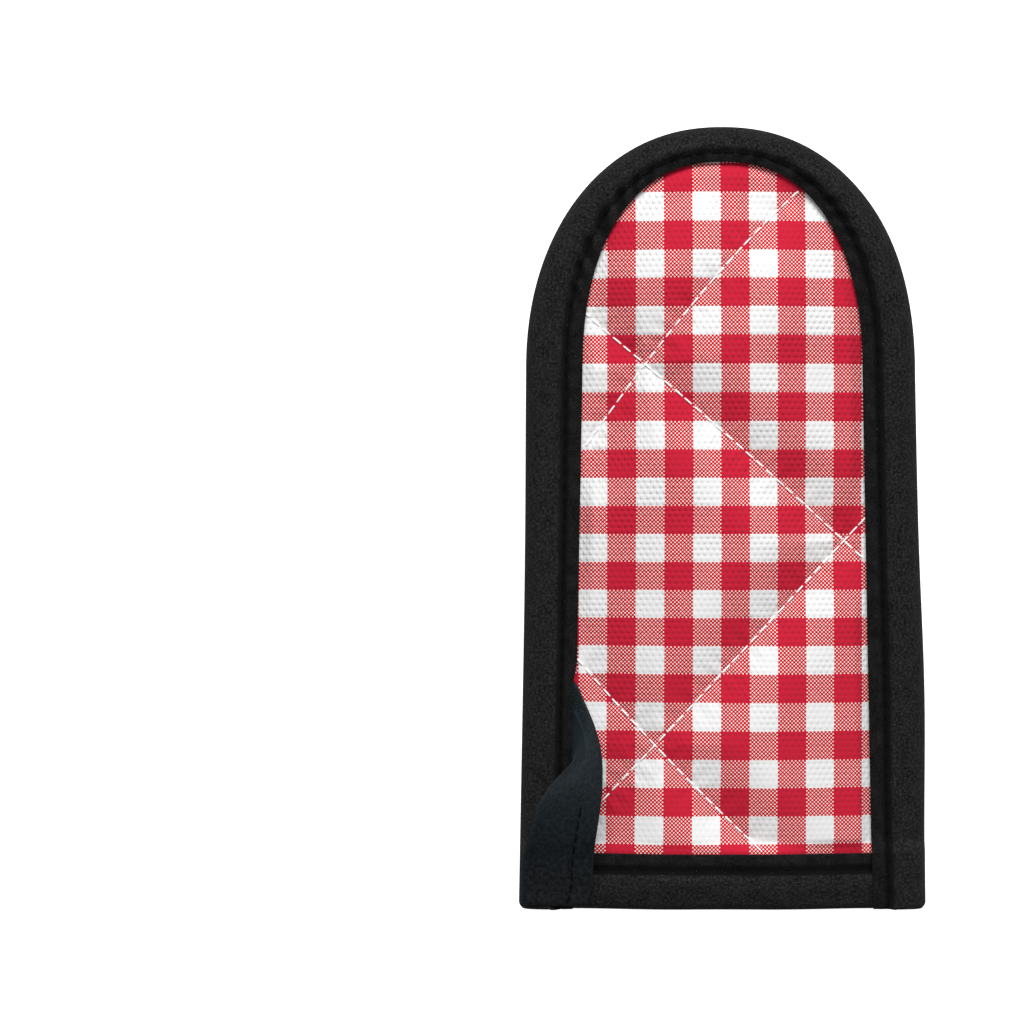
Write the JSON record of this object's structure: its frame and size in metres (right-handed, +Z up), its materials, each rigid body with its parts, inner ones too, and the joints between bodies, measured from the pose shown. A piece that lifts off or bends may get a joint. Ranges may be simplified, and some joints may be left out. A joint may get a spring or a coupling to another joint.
{
  "type": "skillet handle cover",
  "caption": "Quilted gingham sleeve for a frying pan's handle, flat with a rounded end, black tape binding, an open mouth and a hanging loop.",
  "frame": {"origin": "on the surface that the cover lies on, under the middle of its outline", "axes": "+Y along the cover from its mouth to its rounded end, +Z up from the back through the front, +X to the right seen from the front"},
  "size_m": [0.0832, 0.16, 0.019],
  "materials": {
    "gingham_cotton": "matte printed cotton, quilted, with small raised dots",
    "black_twill": "matte brushed cotton twill tape",
    "loop_twill": "matte fine twill tape, slightly blue black",
    "white_thread": "white polyester quilting thread",
    "black_thread": "black polyester sewing thread"
  },
  "bodies": {
    "root": {"front_panel": "gingham_cotton", "back_panel": "gingham_cotton", "side_binding": "black_twill", "front_hem": "black_twill", "back_hem": "black_twill", "hanging_loop": "loop_twill"}
  },
  "joints": []
}
